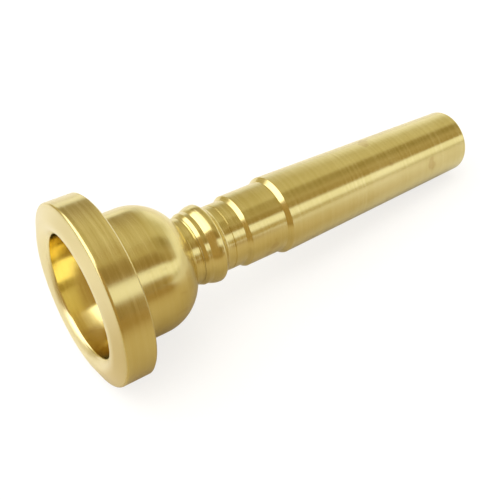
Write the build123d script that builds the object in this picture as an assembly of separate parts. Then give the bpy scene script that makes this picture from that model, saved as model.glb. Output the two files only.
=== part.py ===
from build123d import *

import math
import os

# A cup mouthpiece for a small brass instrument, in millimetres.
# The bore runs along Y: the player's lips meet the rim at -Y, and the shank points to +Y.
# The origin is on the bore's axis at the small end of the shank, where it goes into an instrument.
# Stations are measured along the axis from the front edge of the rim's outer cylinder.

rim_to_shank_end = 70.0

# rim
rim_radius = 13.5
rim_back = 4.35
rim_edge_chamfer = 0.2
rim_high_point = (-0.95, 10.8)  # station and radius where the lips rest
rim_crest_radius = 1.9
bite = (-0.05, 9.15)  # station and radius of the inner edge, where the bowl begins

# bowl, which the rim starts and the cup finishes
bowl_floor = 10.6
throat_radius = 1.83
throat_blend = 1.2

# thread between rim and cup: the rim screws over a flange on the front of the cup
rim_seat = 1.2
rim_thread_crest = 10.94
rim_thread_root = 11.25
flange_crest = 10.9
flange_root = 10.6
rim_thread_pitch = 0.75

# outside of the cup
cup_radius = 9.45
dome_start = 9.2
dome_arc_radius = 7.0
neck_radius = 5.14
collar = (16.78, 16.92, 5.26)  # start and end of its chamfer, and its radius
seam = 17.0
seam_gap = 0.04

# thread between cup and backbore
socket_floor = 12.85
socket_crest = 3.52
socket_root = 3.85
stub_crest = 3.48
stub_root = 3.16
stub_thread_pitch = 0.8
stub_front = 12.9
groove_floor_share = 0.16  # flat floor of a thread groove, as a share of its pitch

# outside of the backbore
ring = (17.57, 5.54)  # end of its front chamfer, and its radius
ring_back = 18.28
bead_front = (19.5, 6.0)  # end of its cone
bead_swell = 0.06  # how far the cone bows out
bead_top = (20.0, 6.04)
waist_start = 21.3
waist_radius = 5.08
waist_groove = (22.25, 22.5, 0.1)  # start, end and depth
step_one = (24.5, 25.05, 5.59)  # start and end of its chamfer, and the radius it reaches
step_two = (31.37, 32.03)
shank_end_radius = 5.2
shank_taper = 1 / 20  # change of diameter for each unit of length
shank_end_round = 0.35

# backbore
backbore_start = 15.0
backbore_exit_radius = 4.25
backbore_belly = 0.28  # how far its wall bows out from a straight cone


def at(station, radius):
    """A point of an outline, from its station along the axis and its radius."""
    return Vector(0, station - rim_to_shank_end, radius)


def shank_radius(station):
    return shank_end_radius + shank_taper / 2 * (rim_to_shank_end - station)


def bowl_radius(station):
    """Radius of the bowl's wall, a quarter of an ellipse from the bite to its floor."""
    mouth, radius = bite
    depth = (station - mouth) / (bowl_floor - mouth)
    return radius * (1 - depth**2) ** 0.5


def bowl_station(radius):
    mouth, mouth_radius = bite
    return mouth + (bowl_floor - mouth) * (1 - (radius / mouth_radius) ** 2) ** 0.5


def bowl_curve(first, last):
    """The bowl's wall between two stations, through points of its ellipse."""
    count = 7
    stations = [first + (last - first) * i / (count - 1) for i in range(count)]
    return Spline(*[at(s, bowl_radius(s)) for s in stations])


def thread_outline(first, last, pitch, crest, root):
    """Points of a row of V grooves from one station to another, in either direction."""
    direction = 1 if last > first else -1
    floor_start = (1 - groove_floor_share) / 2
    turns = int(abs(last - first) / pitch)
    flat = (abs(last - first) - turns * pitch) / 2
    start = first + direction * flat
    points = [at(first, crest), at(start, crest)]
    for turn in range(turns):
        groove = start + direction * pitch * turn
        points.append(at(groove + direction * pitch * floor_start, root))
        points.append(at(groove + direction * pitch * (1 - floor_start), root))
        points.append(at(groove + direction * pitch, crest))
    points.append(at(last, crest))
    return points


def turn(outline):
    """Turns a closed outline about the bore's axis, as on a lathe."""
    return revolve(make_face(outline), Axis.Y)


def crest(edge):
    """The rim's front, from its high point round an arc and straight down to an edge behind it."""
    high = at(*rim_high_point)
    centre = high + Vector(0, rim_crest_radius, 0)
    reach = edge - centre
    outwards = 1 if edge.Z > high.Z else -1
    sweep = math.pi - math.atan2(abs(reach.Z), reach.Y) - math.acos(rim_crest_radius / reach.length)

    def on_arc(angle):
        return centre + Vector(0, -math.cos(angle), outwards * math.sin(angle)) * rim_crest_radius

    return ThreePointArc(high, on_arc(sweep / 2), on_arc(sweep)) + Line(on_arc(sweep), edge)


def make_rim():
    front_edge = at(0, rim_radius)
    seat = at(rim_seat, bowl_radius(rim_seat))
    thread = thread_outline(rim_seat, rim_back, rim_thread_pitch, rim_thread_crest, rim_thread_root)
    outline = crest(front_edge)
    outline += crest(at(*bite))
    outline += bowl_curve(bite[0], rim_seat)
    outline += Polyline(seat, *thread, at(rim_back, rim_radius - rim_edge_chamfer),
                        at(rim_back - rim_edge_chamfer, rim_radius), front_edge)
    return turn(outline)


def throat_curve():
    """The rounded corner where the bowl's floor turns into the throat."""
    start_radius = throat_radius + throat_blend
    start = at(bowl_station(start_radius), start_radius)
    end = at(bowl_floor + throat_blend * 0.5, throat_radius)
    slope = Vector(0, bowl_station(start_radius - 0.05) - bowl_station(start_radius + 0.05), -0.1)
    return start, end, Spline(start, end, tangents=[slope, (0, 1, 0)])


def make_cup():
    throat_top, throat_point, throat_edge = throat_curve()
    blend_station = throat_top.Y + rim_to_shank_end
    dome_centre_radius = cup_radius - dome_arc_radius
    dome_end = dome_start + (dome_arc_radius**2 - (neck_radius - dome_centre_radius) ** 2) ** 0.5
    half_turn = 0.5**0.5 * dome_arc_radius
    dome_middle = at(dome_start + half_turn, dome_centre_radius + half_turn)
    flange = thread_outline(rim_back, rim_seat, rim_thread_pitch, flange_crest, flange_root)
    socket = thread_outline(socket_floor, seam, stub_thread_pitch, socket_crest, socket_root)
    collar_start, collar_end, collar_radius = collar
    outline = Polyline(at(rim_seat, bowl_radius(rim_seat)), *reversed(flange), at(rim_back, cup_radius),
                       at(dome_start, cup_radius))
    outline += ThreePointArc(at(dome_start, cup_radius), dome_middle, at(dome_end, neck_radius))
    outline += Polyline(at(dome_end, neck_radius), at(collar_start, neck_radius), at(collar_end, collar_radius),
                        at(seam, collar_radius), *reversed(socket), at(socket_floor, throat_radius), throat_point)
    outline += throat_edge
    outline += bowl_curve(blend_station, rim_seat)
    return turn(outline)


def make_backbore():
    ring_radius = ring[1]
    bead = at(*bead_top)
    groove_start, groove_end, groove_depth = waist_groove
    step_start, step_end, step_radius = step_one
    second_start, second_end = step_two
    front = seam + seam_gap
    stub = thread_outline(front, stub_front, stub_thread_pitch, stub_crest, stub_root)
    end = rim_to_shank_end
    waist_floor = waist_radius - groove_depth
    bore_middle_radius = (throat_radius + backbore_exit_radius) / 2 + backbore_belly
    bore_middle = at((backbore_start + end) / 2, bore_middle_radius)
    outline = Polyline(at(stub_front, throat_radius), *reversed(stub), at(front, collar[2]), at(*ring),
                       at(ring_back, ring_radius))
    bead_middle = at((ring_back + bead_front[0]) / 2, (ring_radius + bead_front[1]) / 2 + bead_swell)
    outline += ThreePointArc(at(ring_back, ring_radius), bead_middle, at(*bead_front))
    outline += Line(at(*bead_front), bead)
    outline += Spline(bead, at(waist_start, waist_radius), tangents=[(0, 1, 0), (0, 1, 0)])
    outline += Polyline(at(waist_start, waist_radius), at(groove_start, waist_radius), at(groove_start, waist_floor),
                        at(groove_end, waist_floor), at(groove_end, waist_radius), at(step_start, waist_radius),
                        at(step_end, step_radius), at(second_start, step_radius),
                        at(second_end, shank_radius(second_end)), at(end - shank_end_round, shank_end_radius))
    corner = at(end - shank_end_round * (1 - 0.5**0.5), shank_end_radius - shank_end_round * (1 - 0.5**0.5))
    outline += ThreePointArc(at(end - shank_end_round, shank_end_radius), corner,
                             at(end, shank_end_radius - shank_end_round))
    outline += Line(at(end, shank_end_radius - shank_end_round), at(end, backbore_exit_radius))
    outline += ThreePointArc(at(end, backbore_exit_radius), bore_middle, at(backbore_start, throat_radius))
    outline += Line(at(backbore_start, throat_radius), at(stub_front, throat_radius))
    return turn(outline)


os.makedirs("parts", exist_ok=True)
for name, make in {"rim": make_rim, "cup": make_cup, "backbore": make_backbore}.items():
    piece = make()
    export_step(piece, f"parts/{name}.step")
    print(name, "volume", round(piece.volume, 1))
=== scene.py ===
import math

import bmesh
import bpy
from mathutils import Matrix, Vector


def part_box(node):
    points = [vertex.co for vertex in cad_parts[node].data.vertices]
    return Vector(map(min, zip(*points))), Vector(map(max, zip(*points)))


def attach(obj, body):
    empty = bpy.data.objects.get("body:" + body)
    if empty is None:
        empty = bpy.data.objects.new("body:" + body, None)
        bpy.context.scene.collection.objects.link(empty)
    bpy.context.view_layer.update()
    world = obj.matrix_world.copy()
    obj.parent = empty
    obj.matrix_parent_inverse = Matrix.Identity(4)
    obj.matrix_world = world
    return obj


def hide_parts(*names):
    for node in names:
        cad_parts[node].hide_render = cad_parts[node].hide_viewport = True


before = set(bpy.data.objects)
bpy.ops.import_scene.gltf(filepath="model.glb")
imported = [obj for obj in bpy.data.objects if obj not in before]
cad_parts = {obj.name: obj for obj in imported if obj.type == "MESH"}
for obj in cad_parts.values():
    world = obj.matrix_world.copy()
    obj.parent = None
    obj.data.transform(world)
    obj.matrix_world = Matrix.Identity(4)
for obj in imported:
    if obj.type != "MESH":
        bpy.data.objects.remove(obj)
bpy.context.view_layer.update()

# A turned brass mouthpiece in three pieces. Outlines are (station, radius) in millimetres:
# stations run along the bore from the front edge of the rim's outside towards the shank's small end.
millimetre = 0.001
sides = 240  # steps round the bore
crisp = 0.04  # rounding of a turned corner
eased = 0.1  # rounding of a chamfer's corner
rimDepth = 4.35
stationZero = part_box("rim")[1].y - rimDepth * millimetre
shankEnd = (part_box("backbore")[1].y - stationZero) / millimetre


class Wire:
    # a socket that can stand in shader maths
    def __init__(self, bench, socket):
        self.bench = bench
        self.socket = socket

    def __add__(self, other):
        return self.bench.maths("ADD", self, other)

    def __sub__(self, other):
        return self.bench.maths("SUBTRACT", self, other)

    def __rsub__(self, other):
        return self.bench.maths("SUBTRACT", other, self)

    def __mul__(self, other):
        return self.bench.maths("MULTIPLY", self, other)

    def __truediv__(self, other):
        return self.bench.maths("DIVIDE", self, other)

    def __rtruediv__(self, other):
        return self.bench.maths("DIVIDE", other, self)

    __radd__ = __add__
    __rmul__ = __mul__


class Bench:
    # a node tree, of a material or the world
    def __init__(self, tree):
        self.tree = tree
        tree.nodes.clear()

    def node(self, kind, settings=None, sockets=None, out=0):
        made = self.tree.nodes.new(kind)
        for name, value in (settings or {}).items():
            if name == "stops":
                marks = made.color_ramp.elements
                while len(marks) < len(value):
                    marks.new(0.5)
                for mark, (spot, colour) in zip(marks, value):
                    mark.position = spot
                    mark.color = (*colour, 1)
            else:
                setattr(made, name, value)
        for name, value in (sockets or {}).items():
            if isinstance(value, Wire):
                self.tree.links.new(value.socket, made.inputs[name])
            else:
                made.inputs[name].default_value = value
        return Wire(self, made.outputs[out]) if len(made.outputs) else made

    def maths(self, operation, *values):
        return self.node("ShaderNodeMath", {"operation": operation}, dict(enumerate(values)))

    def axes(self, kind):
        # x, y and z of a Texture Coordinate output
        place = self.node("ShaderNodeTexCoord", out=kind)
        split = self.node("ShaderNodeSeparateXYZ", None, {0: place})
        return [Wire(self, socket) for socket in split.socket.node.outputs]

    def soft(self, value, low, high):
        # 0 below low, 1 above high, and smooth between
        return self.node("ShaderNodeMapRange", {"interpolation_type": "SMOOTHSTEP"},
                         {"Value": value, "From Min": low, "From Max": high})

    def tint(self, share, first, second):
        return self.node("ShaderNodeMix", {"data_type": "RGBA"},
                         {0: share, 6: colour(first), 7: colour(second)}, out=2)

    def noise(self, place, scale, detail, roughness=0.5):
        # scale is in repeats for each metre, along x, y and z
        stretched = self.node("ShaderNodeVectorMath", {"operation": "MULTIPLY"}, {0: place, 1: scale})
        return self.node("ShaderNodeTexNoise", None,
                         {"Vector": stretched, "Scale": 1.0, "Detail": detail, "Roughness": roughness})


def colour(value):
    return value if isinstance(value, Wire) else (*value, 1)


# how the tool marks look on all three pieces
marks = {
    "followRadius": 0.83,  # on a face across the bore the lines are rings
    "feedShare": 0.45, "fineShare": 0.35, "broadShare": 0.2, "broadening": 7,
    "shadeLines": 0.6, "shadeCloud": 0.4, "shadeEdges": (0.36, 0.64),
    "feedHeight": 0.5, "fineHeight": 0.35, "broadHeight": 0.3, "gritHeight": 0.08,
    "cloud": (160, 160, 110), "cloudRoughness": 0.08, "grit": (9000, 9000, 9000),
    "stains": (420, 420, 300), "stainEdges": (0.69, 0.76), "stainRoughness": 0.08,
    # inside this radius, less past the dome's start, is the bowl; its wall is finished smoother
    "bowlRadius": (0.00937, 0.00941), "domeStart": 0.0092, "domeFall": 2, "bowlFlatness": 0.75,
    "faceBlend": (-0.00025, 0.0001),
}


def turnedBrass(name, finish):
    # brass straight from the lathe: fine lines round the bore, and a satin that stretches reflections
    material = bpy.data.materials.new(name)
    material.use_nodes = True
    bench = Bench(material.node_tree)
    place = bench.node("ShaderNodeTexCoord", out="Object")
    across, up, along = bench.axes("Object")
    reach = bench.maths("SQRT", across * across + up * up)
    track = bench.node("ShaderNodeCombineXYZ", None,
                       {0: across, 1: up, 2: along + reach * marks["followRadius"]})
    slow, lathe = finish["wander"], finish["feedLines"]
    feed = bench.noise(track, (slow, slow, lathe), detail=1.0)
    fine = bench.noise(track, (slow * 2, slow * 2, finish["fineLines"]), detail=2.0, roughness=0.6)
    broad = bench.noise(track, (slow, slow, lathe / marks["broadening"]), detail=1.0)
    cloud = bench.noise(place, marks["cloud"], detail=3.0)
    grit = bench.noise(place, marks["grit"], detail=1.0)
    blots = bench.noise(place, marks["stains"], detail=1.0)
    spots = bench.soft(blots, *marks["stainEdges"]) * finish["spots"]
    lines = feed * marks["feedShare"] + fine * marks["fineShare"] + broad * marks["broadShare"]
    shade = bench.soft(lines * marks["shadeLines"] + cloud * marks["shadeCloud"], *marks["shadeEdges"])
    colours = bench.tint(spots, bench.tint(shade, finish["deep"], finish["pale"]), finish["stain"])
    roughness = finish["roughness"] + (lines - 0.5) * finish["lineRoughness"]
    roughness = roughness + (cloud - 0.5) * marks["cloudRoughness"] + spots * marks["stainRoughness"]
    height = feed * marks["feedHeight"] + fine * marks["fineHeight"]
    height = height + broad * marks["broadHeight"] + grit * marks["gritHeight"]
    if "bowlPolish" in finish:
        past = bench.maths("MAXIMUM", along - marks["domeStart"], 0.0)
        bowlSide = 1 - bench.soft(reach + past * marks["domeFall"], *marks["bowlRadius"])
        roughness = roughness - bowlSide * finish["bowlPolish"]
        height = height * (1 - bowlSide * marks["bowlFlatness"])
    if "faceEnd" in finish:  # the face the lips touch is a finer satin; its colour, paler than the outside, is a painted sheen
        before, after = marks["faceBlend"]
        face = 1 - bench.soft(along, finish["faceEnd"] + before, finish["faceEnd"] + after)
        # the paler colour on the face is a painted sheen
        colours = bench.tint(face, colours, finish["paintedFaceSheen"])
        roughness = roughness + face * finish["faceRoughness"]
    bump = bench.node("ShaderNodeBump", None,
                      {"Strength": 1.0, "Distance": finish["lineDepth"], "Height": height})
    shader = bench.node("ShaderNodeBsdfPrincipled", None, {
        "Base Color": colours, "Metallic": 1.0, "Roughness": roughness, "Normal": bump,
        "Anisotropic": finish["stretch"], "Anisotropic Rotation": 0.25,
    })
    bench.node("ShaderNodeOutputMaterial", None, {"Surface": shader})
    return material


def arc(centre, radius, start, end, steps):
    # points of an arc, from one angle in degrees to another; 90 is away from the bore
    angles = [math.radians(start + (end - start) * i / steps) for i in range(steps + 1)]
    return [(centre[0] + radius * math.cos(a), centre[1] + radius * math.sin(a)) for a in angles]


def crest(high, radius, edge, steps):
    # from the rim's high point, where it is square to the bore, round an arc and straight down to an edge
    depth, width = edge[0] - high[0] - radius, edge[1] - high[1]
    away = 1 if width > 0 else -1
    sweep = math.pi - math.atan2(abs(width), depth) - math.acos(radius / math.hypot(depth, width))
    points = []
    for i in range(steps + 1):
        angle = sweep * i / steps
        points.append((high[0] + radius * (1 - math.cos(angle)), high[1] + away * radius * math.sin(angle)))
    return points


def bowed(start, end, bulge, steps):
    # a straight line whose middle bows out from the bore
    points = []
    for i in range(steps + 1):
        share = i / steps
        points.append((start[0] + (end[0] - start[0]) * share,
                       start[1] + (end[1] - start[1]) * share + bulge * 4 * share * (1 - share)))
    return points


def glide(start, end, steps):
    # an S that leaves and arrives along the bore
    points = []
    for i in range(1, steps):
        share = i / steps
        drop = share * share * (3 - 2 * share)
        points.append((start[0] + (end[0] - start[0]) * share, start[1] + (end[1] - start[1]) * drop))
    return points


def bowlWall(first, last, steps):
    # a quarter of an ellipse, from its mouth towards its floor, with closer points where it bends most
    points = []
    for i in range(steps + 1):
        station = first + (last - first) * (1 - (1 - i / steps) ** bowl["crowding"])
        depth = (station - bowl["mouth"]) / (bowl["floor"] - bowl["mouth"])
        points.append((station, bowl["radius"] * (1 - depth ** 2) ** 0.5))
    return points


# as shares of a pitch: how far a thread takes to fade out, and half its flat crest and half its flat root
threadForm = {"rows": 8, "fade": 0.8, "flat": 0.15}


def thread(first, last, pitch, top, root):
    # a helical V thread, as points whose radius changes round the bore; it fades out at both ends
    rows = math.ceil(abs(last - first) / pitch * threadForm["rows"])
    flat = threadForm["flat"]

    def groove(station):
        ends = min(abs(station - first), abs(station - last)) / (pitch * threadForm["fade"])

        def radius(angle):
            turn = (station / pitch - angle / (2 * math.pi)) % 1
            depth = min(max((1 - abs(2 * turn - 1) - flat) / (1 - 2 * flat), 0), 1)
            return top + (root - top) * depth * min(ends, 1)
        return radius

    stations = [first + (last - first) * i / rows for i in range(1, rows)]
    return [(first, top), *[(station, groove(station)) for station in stations], (last, top)]


def rounded(outline, steps=5, hold=0.05, most=0.42):
    # a point with a third number has its corner rounded to that radius, on no more than a share of each
    # side; a point held close beside it keeps the flat sides' shading flat
    points = []
    count = len(outline)
    room = hold * 2.5
    for i, point in enumerate(outline):
        if len(point) < 3:
            points.append(point)
            continue
        corner = Vector(point[:2])
        before = Vector(outline[i - 1][:2]) - corner
        after = Vector(outline[(i + 1) % count][:2]) - corner
        turn = math.pi - before.angle(after)
        reach = min(point[2] * math.tan(turn / 2), before.length * most, after.length * most)
        start, end = corner + before.normalized() * reach, corner + after.normalized() * reach
        if before.length > reach + room:
            points.append(tuple(start + before.normalized() * hold))
        for step in range(steps + 1):
            share = step / steps
            points.append(tuple(start.lerp(corner, share).lerp(corner.lerp(end, share), share)))
        if after.length > reach + room:
            points.append(tuple(end + after.normalized() * hold))
    return points


sharpAngle = math.radians(38)  # edges bent further than this are drawn sharp


def turned(name, outline, material, body, node):
    # spins a closed outline round the bore; the object's own z is the bore, which the finish goes by
    vertices, faces = [], []
    count = len(outline)
    for side in range(sides):
        angle = 2 * math.pi * side / sides
        here, there = side * count, (side + 1) % sides * count
        for i, (station, radius) in enumerate(outline):
            reach = radius(angle) if callable(radius) else radius
            vertices.append(Vector((reach * math.cos(angle), reach * math.sin(angle), station)) * millimetre)
            after = (i + 1) % count
            faces.append((here + i, there + i, there + after, here + after))
    mesh = bpy.data.meshes.new(name)
    mesh.from_pydata(vertices, [], faces)
    work = bmesh.new()
    work.from_mesh(mesh)
    bmesh.ops.recalc_face_normals(work, faces=work.faces)
    work.to_mesh(mesh)
    work.free()
    mesh.shade_smooth()
    mesh.set_sharp_from_angle(angle=sharpAngle)
    mesh.materials.append(material)
    piece = bpy.data.objects.new(name, mesh)
    bpy.context.collection.objects.link(piece)
    piece.rotation_euler.x = -math.pi / 2
    piece.location.y = stationZero
    bpy.context.view_layer.update()
    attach(piece, body)
    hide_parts(node)
    print(name, "turned:", len(mesh.vertices), "points")


# the bowl, which the rim starts and the cup finishes
bowl = {
    "mouth": -0.05,
    "radius": 9.15,
    "floor": 10.6,
    "throat": 1.83,
    "throatBlend": 1.2,
    "blendEnd": 0.7,  # past the floor, where the throat runs straight
    "crowding": 1.6,
}
joint = {"seat": 1.2, "pitch": 0.75}  # the thread between rim and cup


rim = {
    "radius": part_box("rim")[1].z / millimetre,
    "high": (-0.95, 10.8),
    "crestRadius": 1.9,
    "biteRound": 0.8,
    "edgeRound": 0.4,
    "backChamfer": 0.2,
    "threadTop": 10.94,
    "threadRoot": 11.25,
}
rimBrass = {
    "deep": (0.75, 0.63, 0.26), "pale": (0.82, 0.71, 0.33), "stain": (0.55, 0.38, 0.13), "spots": 0.0,
    "roughness": 0.22, "lineRoughness": 0.26, "lineDepth": 0.000016, "feedLines": 2600, "fineLines": 7000,
    "wander": 60, "stretch": 0.62, "bowlPolish": 0.05,
    "faceEnd": 0.0, "paintedFaceSheen": (0.84, 0.75, 0.44), "faceRoughness": 0.12,
}


def makeRim():
    bite = (bowl["mouth"], bowl["radius"])
    outline = bowlWall(bowl["mouth"], joint["seat"], steps=4)[:0:-1]
    outline.append((*bite, rim["biteRound"]))
    outline += crest(rim["high"], rim["crestRadius"], bite, steps=6)[:0:-1]
    outline += crest(rim["high"], rim["crestRadius"], (0, rim["radius"]), steps=8)
    outline += [
        (0, rim["radius"], rim["edgeRound"]),
        (rimDepth - rim["backChamfer"], rim["radius"], crisp),
        (rimDepth, rim["radius"] - rim["backChamfer"], crisp),
    ]
    outline += thread(rimDepth, joint["seat"], joint["pitch"], rim["threadTop"], rim["threadRoot"])
    material = turnedBrass("satinRimBrass", rimBrass)
    turned("lipRim", rounded(outline), material, "rim", "rim")


cup = {
    "radius": 9.45,
    "domeStart": 9.2,
    "domeRadius": 7.0,
    "domeHold": 0.4,  # a point this far before the dome keeps the shading of the straight part flat
    "throatHold": 1.2,
    "backRound": 0.08,
    "neckRound": 0.3,
    "collarRound": 0.05,
    "neck": 5.14,
    "collar": (16.78, 16.92, 5.26),
    "seam": 17.0,
    "flangeTop": 10.9,
    "flangeRoot": 10.6,
    "socketFloor": 12.85,
    "socketTop": 3.52,
    "socketRoot": 3.85,
    "socketPitch": 0.8,
}
cupBrass = {
    "deep": (0.75, 0.63, 0.255), "pale": (0.82, 0.71, 0.325), "stain": (0.5, 0.34, 0.12), "spots": 0.2,
    "roughness": 0.21, "lineRoughness": 0.26, "lineDepth": 0.000018, "feedLines": 2800, "fineLines": 7500,
    "wander": 55, "stretch": 0.62, "bowlPolish": 0.05,
}


def makeCup():
    centre = (cup["domeStart"], cup["radius"] - cup["domeRadius"])
    domeEnd = math.degrees(math.asin((cup["neck"] - centre[1]) / cup["domeRadius"]))
    blendRadius = bowl["throat"] + bowl["throatBlend"]
    bowlDepth = bowl["floor"] - bowl["mouth"]
    blendStart = bowl["mouth"] + bowlDepth * (1 - (blendRadius / bowl["radius"]) ** 2) ** 0.5
    collarStart, collarEnd, collarRadius = cup["collar"]
    outline = thread(joint["seat"], rimDepth, joint["pitch"], cup["flangeTop"], cup["flangeRoot"])
    outline += [
        (rimDepth, cup["radius"], cup["backRound"]), (cup["domeStart"] - cup["domeHold"], cup["radius"]),
    ]
    dome = arc(centre, cup["domeRadius"], 90, domeEnd, steps=30)
    outline += [*dome[:-1], (*dome[-1], cup["neckRound"])]
    outline += [
        (collarStart, cup["neck"], cup["collarRound"]), (collarEnd, collarRadius, crisp),
        (cup["seam"], collarRadius, crisp),
    ]
    outline += thread(cup["seam"], cup["socketFloor"], cup["socketPitch"],
                      cup["socketTop"], cup["socketRoot"])
    outline += [(cup["socketFloor"], bowl["throat"]), (bowl["floor"] + cup["throatHold"], bowl["throat"])]
    # the bowl's floor rolls over into the throat
    start, end = (blendStart, blendRadius), (bowl["floor"] + bowl["blendEnd"], bowl["throat"])
    steps = 8
    for step in range(steps + 1):
        angle = math.radians(90 * step / steps)
        outline.append((end[0] - (end[0] - start[0]) * math.sin(angle),
                        end[1] + (start[1] - end[1]) * (1 - math.cos(angle))))
    outline += bowlWall(joint["seat"], blendStart, steps=34)[-2::-1]
    material = turnedBrass("turnedCupBrass", cupBrass)
    turned("cupBody", rounded(outline), material, "cup", "cup")


shank = {
    "seamGap": 0.04,
    "stubFront": 12.9,
    "stubTop": 3.48,
    "stubRoot": 3.16,
    "ring": (17.57, 5.54),
    "ringBack": 18.28,
    "ringRound": 0.06,
    "beadFront": (19.5, 6.0),
    "beadBulge": 0.06,
    "beadRound": 0.3,
    "bead": (20.0, 6.04),
    "waistStart": 21.3,
    "waist": 5.08,
    "groove": (22.25, 22.5, 0.1),
    "grooveEdge": (0.04, 0.03),  # the slope of its sides, and their rounding
    "firstStep": (24.5, 25.05, 5.59),
    "secondStep": (31.37, 32.03),
    "endRadius": 5.2,
    "taper": 1 / 20,
    "endRound": 0.35,
    "boreStart": 15.0,
    "boreEnd": 4.25,
    "boreRound": 0.08,
    "boreBelly": 0.28,
}
shankBrass = {
    "deep": (0.745, 0.63, 0.26), "pale": (0.83, 0.72, 0.34), "stain": (0.52, 0.35, 0.12), "spots": 0.35,
    "roughness": 0.2, "lineRoughness": 0.28, "lineDepth": 0.000022, "feedLines": 3000, "fineLines": 8000,
    "wander": 50, "stretch": 0.65,
}


def shankRadius(station):
    return shank["endRadius"] + shank["taper"] / 2 * (shankEnd - station)


def makeShank():
    front = cup["seam"] + shank["seamGap"]
    collarRadius = cup["collar"][2]
    ringFront, ringRadius = shank["ring"]
    grooveStart, grooveEnd, grooveDepth = shank["groove"]
    grooveSlope, grooveRound = shank["grooveEdge"]
    firstStart, firstEnd, firstRadius = shank["firstStep"]
    secondStart, secondEnd = shank["secondStep"]
    outline = thread(shank["stubFront"], front, cup["socketPitch"], shank["stubTop"], shank["stubRoot"])
    outline += [
        (front, collarRadius, crisp), (ringFront, ringRadius, crisp),
        (shank["ringBack"], ringRadius, shank["ringRound"]),
    ]
    # the bead is a long, slightly swollen cone in front, and glides down to the waist behind
    outline += bowed((shank["ringBack"], ringRadius), shank["beadFront"], shank["beadBulge"], steps=8)[1:-1]
    outline += [(*shank["beadFront"], shank["beadRound"]), shank["bead"]]
    outline += glide(shank["bead"], (shank["waistStart"], shank["waist"]), steps=14)
    grooveFloor = shank["waist"] - grooveDepth
    outline += [
        (shank["waistStart"], shank["waist"]),
        (grooveStart, shank["waist"], grooveRound), (grooveStart + grooveSlope, grooveFloor, grooveRound),
        (grooveEnd - grooveSlope, grooveFloor, grooveRound), (grooveEnd, shank["waist"], grooveRound),
        (firstStart, shank["waist"], eased), (firstEnd, firstRadius, eased),
        (secondStart, firstRadius, eased), (secondEnd, shankRadius(secondEnd), eased),
    ]
    outline += [(station, shankRadius(station)) for station in (40, 50, 60)]
    outline += [
        (shankEnd, shank["endRadius"], shank["endRound"]), (shankEnd, shank["boreEnd"], shank["boreRound"]),
    ]
    outline += bowed((shankEnd, shank["boreEnd"]), (shank["boreStart"], bowl["throat"]), shank["boreBelly"],
                     steps=24)[1:]
    outline.append((shank["stubFront"], bowl["throat"]))
    material = turnedBrass("turnedShankBrass", shankBrass)
    turned("backboreAndShank", rounded(outline), material, "backbore", "backbore")


makeRim()
makeCup()
makeShank()


floor = {
    "size": 6.0,
    "clear": 0.0005,
    "colour": (0.93, 0.93, 0.92),
    # what the brass sees of the floor is painted reflections laid round the part, with painted shade under
    # the rim and a painted dark patch beyond; the camera sees the plain colour
    "paintedShadeUnderRim": (0.55, 0.50, 0.42),
    "paintedReflectionUnderShank": (0.70, 0.73, 0.80),
    "paintedReflectionBesideRim": (0.43, 0.37, 0.25),
    "paintedReflectionBesideShank": (0.58, 0.58, 0.62),
    "paintedReflectionFarSide": (0.72, 0.72, 0.74),
    "paintedDarkBeyond": (0.27, 0.19, 0.08),
    # where one painted reflection gives way to the next, in metres behind the rim's edge (back) or from the
    # bore (out)
    "besideBack": (0.03, 0.09),
    "underBack": (0.02, 0.06),
    "underOut": (0.002, 0.014),
    "farSideOut": (-0.005, 0.004),
    "beyondBack": (0.02, 0.05),
    "beyondOut": (0.03, 0.1),
    "beyondSlant": 0.42,
    # the camera sees the floor nearly burnt out to white, so the shadow stays faint
    "glow": 0.72,
    "glowStrength": 1.03,
}


def makeFloor():
    # the mouthpiece lies on its rim and on the end of its shank, so the floor leans under it
    rimFoot = Vector((0, stationZero + rimDepth * millimetre, -rim["radius"] * millimetre))
    shankDrop = shank["endRadius"] * millimetre + floor["clear"]
    shankFoot = Vector((0, stationZero + shankEnd * millimetre, -shankDrop))
    lean = (shankFoot - rimFoot).normalized()
    half = floor["size"] / 2
    corners = [rimFoot + lean * along + Vector((across, 0, 0))
               for across, along in ((-half, -half), (half, -half), (half, half), (-half, half))]
    mesh = bpy.data.meshes.new("floor")
    mesh.from_pydata(corners, [], [(0, 1, 2, 3)])
    ground = bpy.data.objects.new("floor", mesh)
    bpy.context.collection.objects.link(ground)
    material = bpy.data.materials.new("paleFloor")
    material.use_nodes = True
    bench = Bench(material.node_tree)
    across, along, _ = bench.axes("Object")
    behind = along - stationZero
    # painted reflections and painted shade, seen only by the brass and not by the camera
    paintedReflection = bench.tint(bench.soft(behind, *floor["besideBack"]), floor["paintedReflectionBesideRim"], floor["paintedReflectionBesideShank"])
    # the painted dark reflection beyond reaches further back the further out it is
    paintedDarkBeyond = 1 - bench.soft(behind - across * floor["beyondSlant"], *floor["beyondBack"])
    paintedReflection = bench.tint(bench.soft(across, *floor["beyondOut"]) * paintedDarkBeyond, paintedReflection, floor["paintedDarkBeyond"])
    under = bench.tint(bench.soft(behind, *floor["underBack"]), floor["paintedShadeUnderRim"], floor["paintedReflectionUnderShank"])
    paintedReflection = bench.tint(bench.soft(across, *floor["underOut"]), under, paintedReflection)
    paintedReflection = bench.tint(bench.soft(across, *floor["farSideOut"]), floor["paintedReflectionFarSide"], paintedReflection)
    # the camera sees the plain pale colour; every other ray sees the painted reflections and painted shade
    seen = bench.node("ShaderNodeLightPath", out="Is Camera Ray")
    paper = bench.node("ShaderNodeBsdfPrincipled", None, {
        "Base Color": bench.tint(seen, paintedReflection, floor["colour"]), "Roughness": 1.0, "Specular IOR Level": 0.0,
    })
    glow = bench.node("ShaderNodeEmission", None, {"Strength": floor["glowStrength"]})
    shader = bench.node("ShaderNodeMixShader", None, {0: seen * floor["glow"], 1: paper, 2: glow})
    bench.node("ShaderNodeOutputMaterial", None, {"Surface": shader})
    mesh.materials.append(material)
    print("floor laid")


makeFloor()


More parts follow.
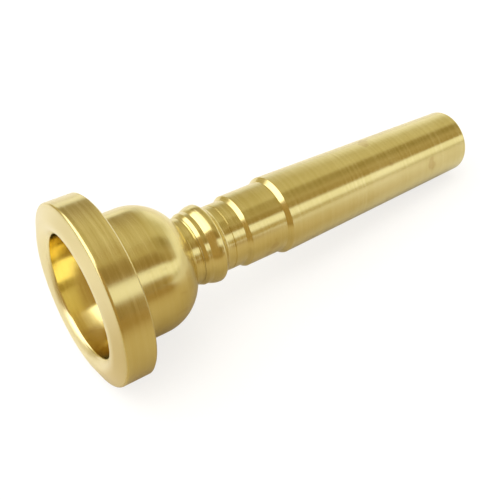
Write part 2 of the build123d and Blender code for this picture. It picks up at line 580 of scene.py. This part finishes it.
# What stands round the brass. Strips run beside the bore, as (turn, colour): turn is the angle round it,
# 0 level towards +X, 0.5 overhead and 1 level towards -X. The pairs that start with "to" are directions
# along the bore, from -1 ahead of the rim to 1 behind the shank.
white, gold, umber = (1.1, 1.1, 1.08), (0.56, 0.475, 0.27), (0.31, 0.205, 0.07)
studio = {
    "square": [  # seen by surfaces that lie straight along the bore near the rim
        (0.0, umber), (0.095, umber), (0.125, white), (0.215, white), (0.226, umber), (0.335, umber),
        (0.365, (0.6, 0.5, 0.27)), (0.43, (0.5, 0.39, 0.19)), (0.48, gold), (0.65, gold),
        (0.8, (0.42, 0.34, 0.21)), (0.905, (0.37, 0.3, 0.16)), (0.93, white),
    ],
    "halfway": [  # by the neck and the front of the shank
        (0.0, (0.6, 0.48, 0.24)), (0.075, (0.52, 0.4, 0.16)), (0.11, white), (0.207, white),
        (0.22, (0.36, 0.26, 0.1)), (0.3, (0.42, 0.32, 0.13)), (0.325, gold), (0.345, gold),
        (0.365, (0.46, 0.38, 0.18)), (0.47, (0.46, 0.38, 0.18)), (0.505, (0.65, 0.57, 0.34)),
        (0.72, (0.54, 0.46, 0.23)), (0.865, (0.54, 0.47, 0.27)), (0.9, (0.68, 0.65, 0.55)),
        (0.97, (0.85, 0.86, 0.88)),
    ],
    "lengthwise": [  # by the end of the shank and by slopes that lean back
        (0.0, (0.8, 0.77, 0.74)), (0.055, (0.7, 0.67, 0.58)), (0.1, white), (0.185, white),
        (0.21, (0.43, 0.32, 0.13)), (0.33, (0.5, 0.4, 0.21)), (0.42, (0.35, 0.27, 0.1)),
        (0.48, (0.35, 0.27, 0.1)), (0.53, (0.67, 0.6, 0.38)), (0.72, (0.66, 0.61, 0.42)), (0.9, white),
    ],
    "toHalfway": (0.3, 0.46),
    "toLengthwise": (0.48, 0.64),
    "toBehind": (0.82, 0.95),
    # a softbox stands ahead of the rim, overhead, with darker walls round it
    "softbox": (2.3, 2.27, 2.15),
    "softboxStart": (0.37, 0.41),
    "softboxEnd": (0.78, 0.86),
    "ember": (0.46, 0.32, 0.13),
    "emberToGold": (0.55, 0.7),
    "toSides": (-0.02, 0.1),
    "background": (1.0, 1.0, 1.0),
    "floorLight": {"power": 5.0, "size": 1.2, "place": (0.42, -0.3, 0.85)},
}


def lightStudio():
    world = bpy.data.worlds.new("studio")
    bpy.context.scene.world = world
    world.use_nodes = True
    bench = Bench(world.node_tree)
    across, along, up = bench.axes("Generated")
    turn = bench.maths("ARCTAN2", up, across) / math.pi

    def strips(name):
        return bench.node("ShaderNodeValToRGB", {"stops": studio[name]}, {0: turn})

    sides = bench.tint(bench.soft(along, *studio["toHalfway"]), strips("square"), strips("halfway"))
    sides = bench.tint(bench.soft(along, *studio["toLengthwise"]), sides, strips("lengthwise"))
    over = bench.soft(turn, *studio["softboxStart"]) * (1 - bench.soft(turn, *studio["softboxEnd"]))
    walls = bench.tint(bench.soft(turn, *studio["emberToGold"]), studio["ember"], gold)
    ahead = bench.tint(over, walls, studio["softbox"])
    around = bench.tint(bench.soft(along, *studio["toSides"]), ahead, sides)
    around = bench.tint(bench.soft(along, *studio["toBehind"]), around, white)
    seen = bench.node("ShaderNodeLightPath", out="Is Camera Ray")
    sky = bench.node("ShaderNodeBackground", None,
                     {"Color": bench.tint(seen, around, studio["background"]), "Strength": 1.0})
    bench.node("ShaderNodeOutputWorld", None, {"Surface": sky})

    lamp = bpy.data.lights.new("floorLight", "AREA")
    lamp.shape = "DISK"
    lamp.size = studio["floorLight"]["size"]
    lamp.energy = studio["floorLight"]["power"]
    above = bpy.data.objects.new("floorLight", lamp)
    above.location = studio["floorLight"]["place"]
    above.rotation_euler = Vector(above.location).to_track_quat("Z", "Y").to_euler()
    above.visible_glossy = False  # it whitens the floor without showing in the brass
    above.visible_camera = False
    bpy.context.collection.objects.link(above)
    print("studio lit")


lightStudio()


view = {
    "azimuth": 54.614,
    "elevation": 39.144,
    "distance": 0.11597,
    "lens": 55.41,
    "sensor": 36,
    "aim": (0.002579, 0.026495, -0.002583),  # from the rim's front edge, on the bore
}


def placeCamera():
    azimuth, elevation = math.radians(view["azimuth"]), math.radians(view["elevation"])
    back = Vector((math.sin(azimuth) * math.cos(elevation), -math.cos(azimuth) * math.cos(elevation),
                   math.sin(elevation)))
    camera = bpy.data.objects.new("camera", bpy.data.cameras.new("camera"))
    camera.data.lens = view["lens"]
    camera.data.sensor_width = view["sensor"]
    camera.data.clip_start = 0.005  # the camera stands close
    camera.location = Vector((0, stationZero, 0)) + Vector(view["aim"]) + back * view["distance"]
    camera.rotation_euler = back.to_track_quat("Z", "Y").to_euler()
    bpy.context.collection.objects.link(camera)
    bpy.context.scene.camera = camera
    bpy.context.scene.view_settings.view_transform = "Standard"
    print("camera placed")


placeCamera()
